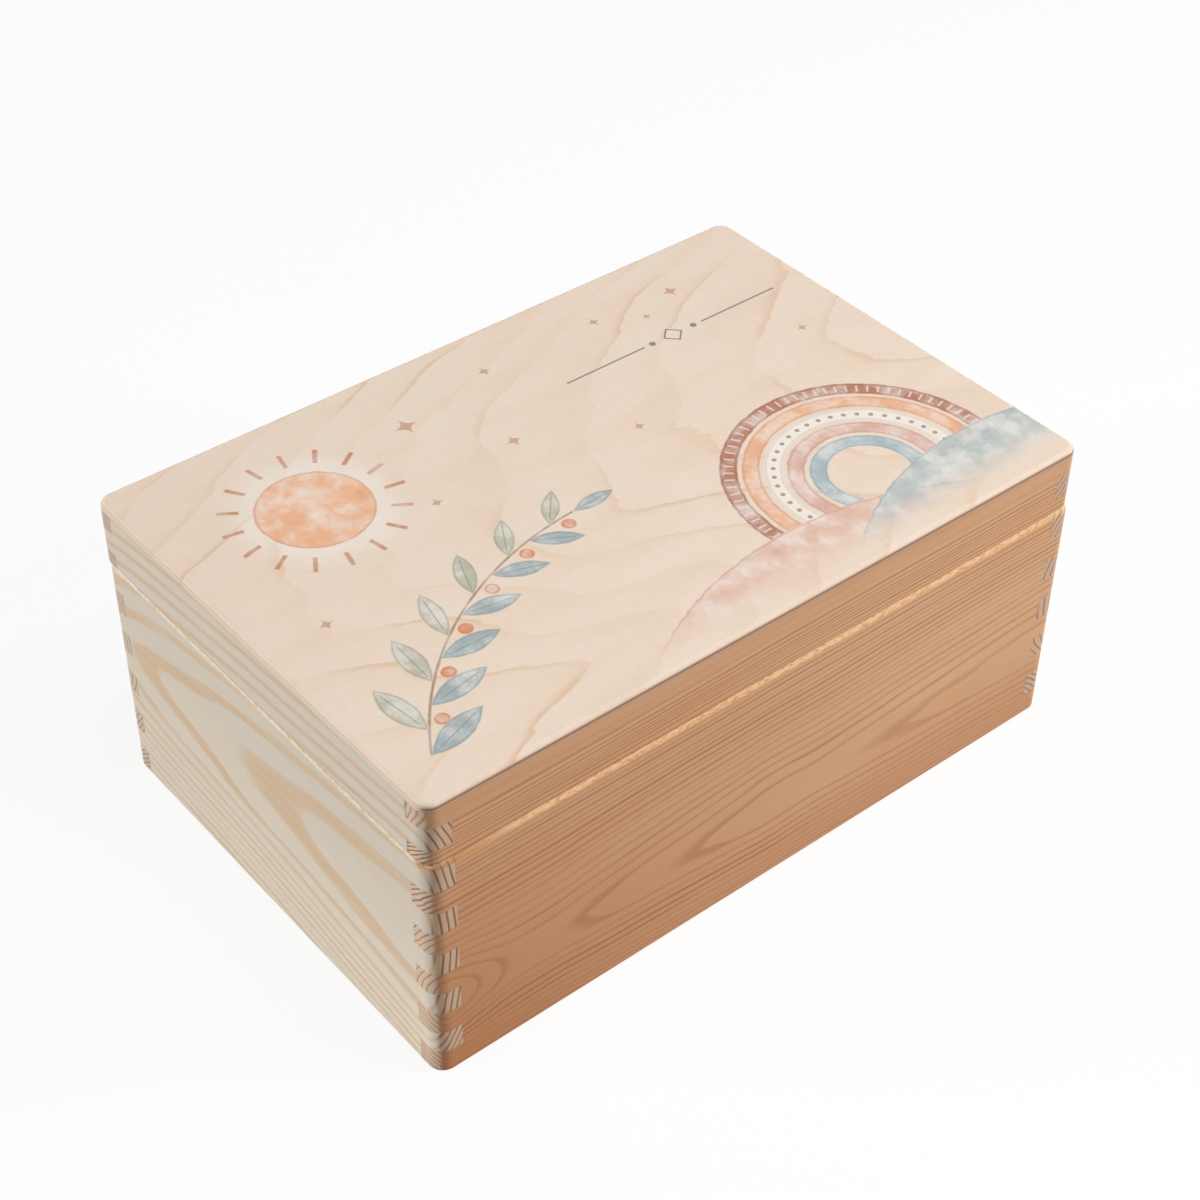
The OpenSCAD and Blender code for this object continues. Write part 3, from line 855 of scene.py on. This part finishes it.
def makeBrassGroup():
    # Colour: clean to tarnished by a cloudy noise; roughness: half from that and half from scratches
    pen, given, out = makeGroup("brassFinish", ["Place"], ["Clean", "Tarnish"],
                                  ["Seed", "Smooth", "Rough"],
                                  {"Color": "Color", "Roughness": "Float", "Height": "Float"})
    look = brassShared
    scratch = pen.noise(given["Place"], look["scratch"], given["Seed"])
    dull = pen.ease(pen.noise(given["Place"], look["cloud"], given["Seed"]), *look["dullRange"])
    dullShare = pen.times(dull, look["dullShare"])
    pen.feed(out["Color"], pen.mix(dullShare, given["Clean"], given["Tarnish"]))
    blur = pen.timesPlus(scratch, 0.5, pen.times(dull, 0.5))
    pen.feed(out["Roughness"], pen.ramp(blur, 0, 1, given["Smooth"], given["Rough"]))
    pen.feed(out["Height"], scratch)
    return pen.tree


def makeBrass(kind, group):
    # The brass group with one kind of part's colours and roughness
    look = brassLook[kind]
    material, pen, shader = makeMaterial("brass_" + kind)
    smooth, rough = look["roughness"]
    finish = pen.group(group, {
        "Place": placeOnObject(pen)[0], "Seed": look["seed"], "Clean": look["clean"],
        "Tarnish": look["tarnish"], "Smooth": smooth, "Rough": rough,
    })
    shader.inputs["Metallic"].default_value = 1
    coverShader(pen, shader, finish["Color"], finish["Roughness"], finish["Height"], brassShared)
    return material


def dress(names, material):
    # Puts the material in every slot of the named nodes
    for name in names:
        slots = nodes[name].material_slots
        for slot in slots:
            slot.material = material
        if not slots:
            nodes[name].data.materials.append(material)


pineGroup = makePineGroup()
for side in pineSides:
    dress(["base_%s_board" % side, "lid_%s_rail" % side], makePine(side, pineGroup))
print("pine boards dressed")

birchGroup = makeBirchGroup()
dress(["lid_top_panel"], makeTopPly(birchGroup))
dress(["bottom_panel"], makeBottomPly(birchGroup))
print("plywood dressed")

brassGroup = makeBrassGroup()
leafBrass = makeBrass("leaf", brassGroup)
fixingBrass = makeBrass("fixing", brassGroup)
for hand in ("left", "right"):
    dress([hand + "_hinge_base_leaf", hand + "_hinge_lid_leaf"], leafBrass)
    dress([hand + "_hinge_" + part for part in ("pin", "base_screws", "lid_screws")], fixingBrass)
print("hinges dressed")


# Floor and background: white to the camera, with some of the box's shadow kept

floorLook = {
    "halfSize": 3,  # metres
    "drop": 0.0004,  # metres below the box, so that the two don't share a plane
    "bounce": 0.52,  # how pale it is to the light that reaches the box from it
    "shadowShare": 0.12,
}


def seenDirectly(pen):
    # 1 for a ray from the camera, or one that a glossy or clear surface sends on
    path = pen.node("LightPath").outputs
    return pen.highest(path["Is Camera Ray"], path["Is Glossy Ray"], path["Is Transmission Ray"])


def makeFloor():
    # A flat square grid just below the box
    steps = np.linspace(-1, 1, 3) * floorLook["halfSize"]
    x, y = np.meshgrid(steps, steps, indexing="ij")
    points = np.stack([x.ravel(), y.ravel(), np.full(x.size, -floorLook["drop"])], 1)
    index = np.arange(x.size).reshape(x.shape)
    quads = np.stack([index[:-1, :-1], index[1:, :-1], index[1:, 1:], index[:-1, 1:]], -1).reshape(-1, 4)
    mesh = bpy.data.meshes.new("floor")
    mesh.from_pydata(points.tolist(), [], quads.tolist())
    mesh.update()
    material = bpy.data.materials.new("pale_floor")
    pen = clearTree(material)
    seen = seenDirectly(pen)
    paleness = pen.ramp(seen, 0, 1, floorLook["bounce"], 1)
    diffuse = pen.node("BsdfDiffuse", {"Color": pen.join(paleness, paleness, paleness)})
    glow = pen.node("Emission")
    share = pen.times(seen, 1 - floorLook["shadowShare"])
    mixed = pen.node("MixShader", {"Fac": share, 1: diffuse.outputs[0], 2: glow.outputs[0]})
    # A camera under the floor looks through it, at the box's underside
    beneath = pen.times(pen.node("NewGeometry").outputs["Backfacing"],
                          pen.node("LightPath").outputs["Is Camera Ray"])
    clear = pen.node("BsdfTransparent").outputs[0]
    oneSided = pen.node("MixShader", {"Fac": beneath, 1: mixed.outputs[0], 2: clear})
    pen.node("OutputMaterial", {"Surface": oneSided.outputs[0]})
    mesh.materials.append(material)
    addObject("floor", mesh)


lightLook = {
    "world": 0.17,
    # name: (direction from the box, distance, size, level that it adds on a surface facing it)
    "lamps": {
        "overhead": ((0.05, -0.25, 1), 1.3, 0.9, 0.49),
        "leftWindow": ((-0.82, 0.57, 0.16), 4, 1.4, 0.64),
        "rightWindow": ((0.86, -0.65, 0.42), 2.4, 1, 0.68),
    },
}


def makeLights():
    # A lamp's power is its level x pi squared x distance squared, for white paper lit to that level
    world = bpy.data.worlds.new("studio")
    bpy.context.scene.world = world
    pen = clearTree(world)
    strength = pen.ramp(seenDirectly(pen), 0, 1, lightLook["world"], 1)
    background = pen.node("Background", {"Color": (1, 1, 1, 1), "Strength": strength})
    pen.node("OutputWorld", {"Surface": background.outputs[0]})
    target = Vector((0, 0, lidTop / millimetres / 2))
    for name, (direction, distance, size, level) in lightLook["lamps"].items():
        lamp = bpy.data.lights.new(name, "AREA")
        lamp.shape = "DISK"
        lamp.size = size
        lamp.energy = level * math.pi ** 2 * distance ** 2
        lampObject = addObject(name, lamp)
        outward = Vector(direction).normalized()
        lampObject.location = target + outward * distance
        lampObject.rotation_euler = outward.to_track_quat("Z", "Y").to_euler()


cameraLook = {
    "azimuth": -39.707, "elevation": 40.728, "roll": 0.688,  # degrees
    "distance": 0.9046, "target": (0.00365, 0.00200, 0.0645),  # metres
    "lens": 71.01, "sensor": 36,  # mm
    "clip": (0.05, 30),  # metres
}


def makeCamera():
    # The camera looks back along the azimuth and elevation, then rolls round its own axis
    look = cameraLook
    azimuth, elevation, roll = (math.radians(look[k]) for k in ("azimuth", "elevation", "roll"))
    back = Vector((math.sin(azimuth) * math.cos(elevation), -math.cos(azimuth) * math.cos(elevation),
                   math.sin(elevation)))
    right = Vector((math.cos(azimuth), math.sin(azimuth), 0))
    up = back.cross(right)
    rolledRight = math.cos(roll) * right + math.sin(roll) * up
    rolledUp = math.cos(roll) * up - math.sin(roll) * right
    data = bpy.data.cameras.new("camera")
    data.sensor_width = look["sensor"]
    data.lens = look["lens"]
    data.clip_start, data.clip_end = look["clip"]
    camera = addObject("camera", data)
    turned = Matrix((rolledRight, rolledUp, back)).transposed().to_4x4()
    camera.matrix_world = Matrix.Translation(Vector(look["target"]) + back * look["distance"]) @ turned
    bpy.context.scene.camera = camera


makeFloor()
makeLights()
makeCamera()
bpy.context.scene.view_settings.view_transform = "Standard"
print("floor, lamps and camera set")
